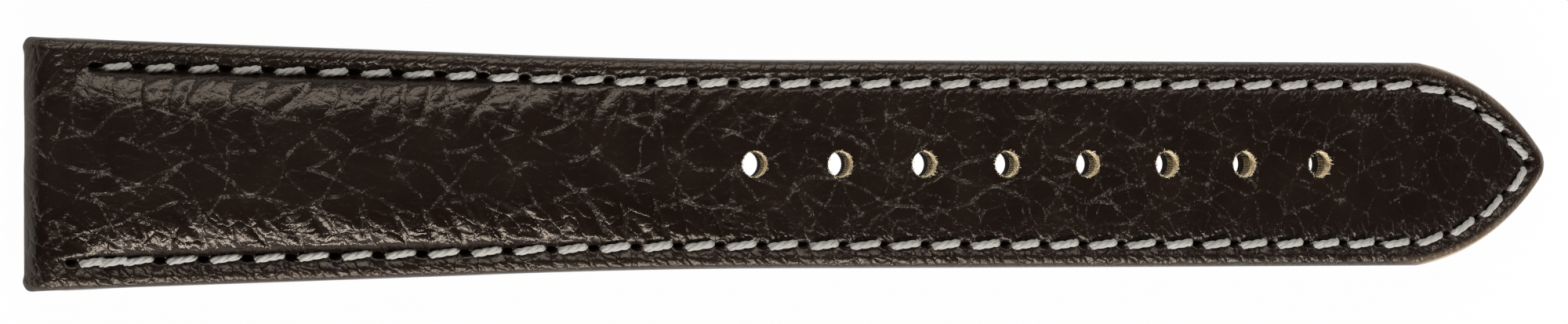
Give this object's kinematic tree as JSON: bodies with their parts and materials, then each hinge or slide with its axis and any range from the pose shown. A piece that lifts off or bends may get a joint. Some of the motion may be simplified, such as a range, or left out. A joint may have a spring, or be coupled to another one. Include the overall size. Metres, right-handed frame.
{
  "type": "leather watch strap",
  "caption": "Padded, turned-edge leather watch strap, the long pointed half, with a spring-bar tunnel, punched tongue holes and pale lockstitching.",
  "frame": {"origin": "middle of the spring-bar tunnel, on its axis", "axes": "+Y along the spring bar, +X from the lug end to the point, +Z out of the grain face"},
  "size_m": [0.129, 0.02, 0.0126],
  "materials": {
    "grain_leather": "semi-gloss pebbled grain",
    "filler": "matte felt",
    "leather_board": "raw fibrous board",
    "tape": "matte woven tape",
    "loop_leather": "matte split leather",
    "lining": "smooth matte lining leather",
    "thread": "twisted polyester thread"
  },
  "bodies": {
    "root": {"upper_leather": "grain_leather", "padding": "filler", "core_board": "leather_board", "reinforcement_tape": "tape", "bar_loop": "loop_leather", "lining_leather": "lining", "needle_thread": "thread", "bobbin_thread": "thread"}
  },
  "joints": []
}
